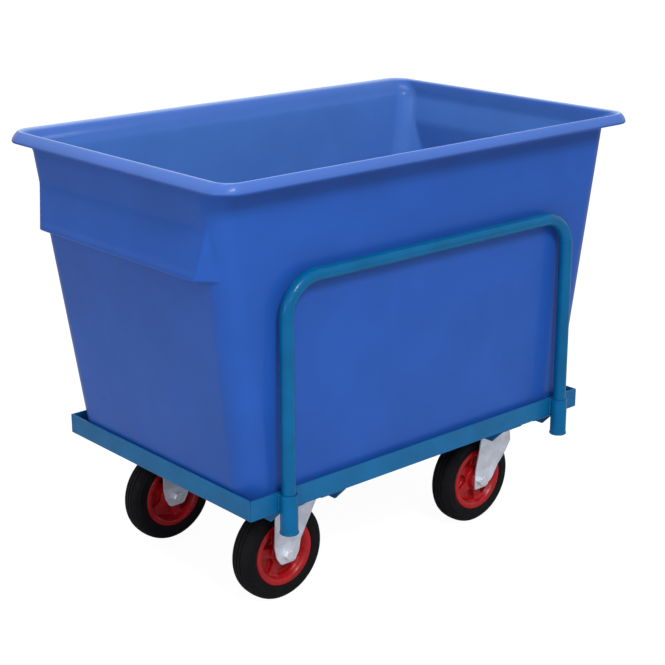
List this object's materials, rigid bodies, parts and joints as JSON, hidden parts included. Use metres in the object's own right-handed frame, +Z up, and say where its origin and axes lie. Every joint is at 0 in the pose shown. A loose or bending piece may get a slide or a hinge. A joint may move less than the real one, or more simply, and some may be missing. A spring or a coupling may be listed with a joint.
{
  "type": "wheeled container truck",
  "caption": "Tapered moulded tub with a rolled lip and end pulls, standing in an angle iron tray on fixed and swivel castors, with a lift-out tubular push hoop on each long side.",
  "frame": {"origin": "on the floor under the middle of the tray", "axes": "+X along the long side towards the swivel castors, +Y to the far long side, +Z up"},
  "size_m": [1.074, 0.704, 0.881],
  "materials": {
    "tub_plastic": "satin moulded polyethylene, solid blue",
    "frame_paint": "satin light blue paint",
    "hoop_paint": "gloss light blue paint",
    "zinc_pressing": "bright zinc plated pressing",
    "bright_zinc": "bright zinc plate",
    "bearing_steel": "ground steel",
    "red_plastic": "semi-gloss red moulding",
    "black_rubber": "matt black rubber"
  },
  "bodies": {
    "chassis": {"tub": "tub_plastic", "rail_near": "frame_paint", "rail_far": "frame_paint", "rail_fixed_end": "frame_paint", "rail_swivel_end": "frame_paint", "cross_member_fixed_outer": "frame_paint", "cross_member_fixed_inner": "frame_paint", "cross_member_swivel_inner": "frame_paint", "cross_member_swivel_outer": "frame_paint", "socket_stops": "frame_paint", "socket_welds": "frame_paint", "castor_bolts": "bright_zinc", "castor_washers": "bright_zinc", "castor_nuts": "bright_zinc", "hoop_socket_near_fixed_end": "frame_paint", "hoop_socket_near_swivel_end": "frame_paint", "hoop_socket_far_fixed_end": "frame_paint", "hoop_socket_far_swivel_end": "frame_paint", "fixed_bracket_near": "zinc_pressing", "swivel_plate_near": "zinc_pressing", "swivel_race_near": "zinc_pressing", "king_pin_near": "bright_zinc", "axle_bolt_fixed_near": "bright_zinc", "axle_nut_fixed_near": "bright_zinc", "axle_sleeve_fixed_near": "bearing_steel", "fixed_bracket_far": "zinc_pressing", "swivel_plate_far": "zinc_pressing", "swivel_race_far": "zinc_pressing", "king_pin_far": "bright_zinc", "axle_bolt_fixed_far": "bright_zinc", "axle_nut_fixed_far": "bright_zinc", "axle_sleeve_fixed_far": "bearing_steel"},
    "hoop_near": {"push_hoop_near": "hoop_paint"},
    "fixed_wheel_near": {"wheel_bearing_fixed_near": "bearing_steel", "wheel_hub_fixed_near": "red_plastic", "tyre_fixed_near": "black_rubber"},
    "fork_near": {"swivel_fork_near": "zinc_pressing", "axle_bolt_swivel_near": "bright_zinc", "axle_nut_swivel_near": "bright_zinc", "axle_sleeve_swivel_near": "bearing_steel"},
    "swivel_wheel_near": {"wheel_bearing_swivel_near": "bearing_steel", "wheel_hub_swivel_near": "red_plastic", "tyre_swivel_near": "black_rubber"},
    "hoop_far": {"push_hoop_far": "hoop_paint"},
    "fixed_wheel_far": {"wheel_bearing_fixed_far": "bearing_steel", "wheel_hub_fixed_far": "red_plastic", "tyre_fixed_far": "black_rubber"},
    "fork_far": {"swivel_fork_far": "zinc_pressing", "axle_bolt_swivel_far": "bright_zinc", "axle_nut_swivel_far": "bright_zinc", "axle_sleeve_swivel_far": "bearing_steel"},
    "swivel_wheel_far": {"wheel_bearing_swivel_far": "bearing_steel", "wheel_hub_swivel_far": "red_plastic", "tyre_swivel_far": "black_rubber"}
  },
  "joints": [
    {"name": "hoop_lift_near", "type": "slide", "parent": "chassis", "child": "hoop_near", "axis": [0, 0, 1], "range_m": [0, 0.07]},
    {"name": "fixed_wheel_spin_near", "type": "hinge", "parent": "chassis", "child": "fixed_wheel_near", "pos_m": [-0.296, -0.183, 0.1], "axis": [0, 1, 0], "continuous": true},
    {"name": "castor_swivel_near", "type": "hinge", "parent": "chassis", "child": "fork_near", "pos_m": [0.296, -0.183, 0.2], "axis": [0, 0, 1], "continuous": true},
    {"name": "swivel_wheel_spin_near", "type": "hinge", "parent": "fork_near", "child": "swivel_wheel_near", "pos_m": [0.245, -0.183, 0.1], "axis": [0, 1, 0], "continuous": true},
    {"name": "hoop_lift_far", "type": "slide", "parent": "chassis", "child": "hoop_far", "axis": [0, 0, 1], "range_m": [0, 0.07]},
    {"name": "fixed_wheel_spin_far", "type": "hinge", "parent": "chassis", "child": "fixed_wheel_far", "pos_m": [-0.296, 0.183, 0.1], "axis": [0, 1, 0], "continuous": true},
    {"name": "castor_swivel_far", "type": "hinge", "parent": "chassis", "child": "fork_far", "pos_m": [0.296, 0.183, 0.2], "axis": [0, 0, 1], "continuous": true},
    {"name": "swivel_wheel_spin_far", "type": "hinge", "parent": "fork_far", "child": "swivel_wheel_far", "pos_m": [0.245, 0.183, 0.1], "axis": [0, 1, 0], "continuous": true}
  ]
}
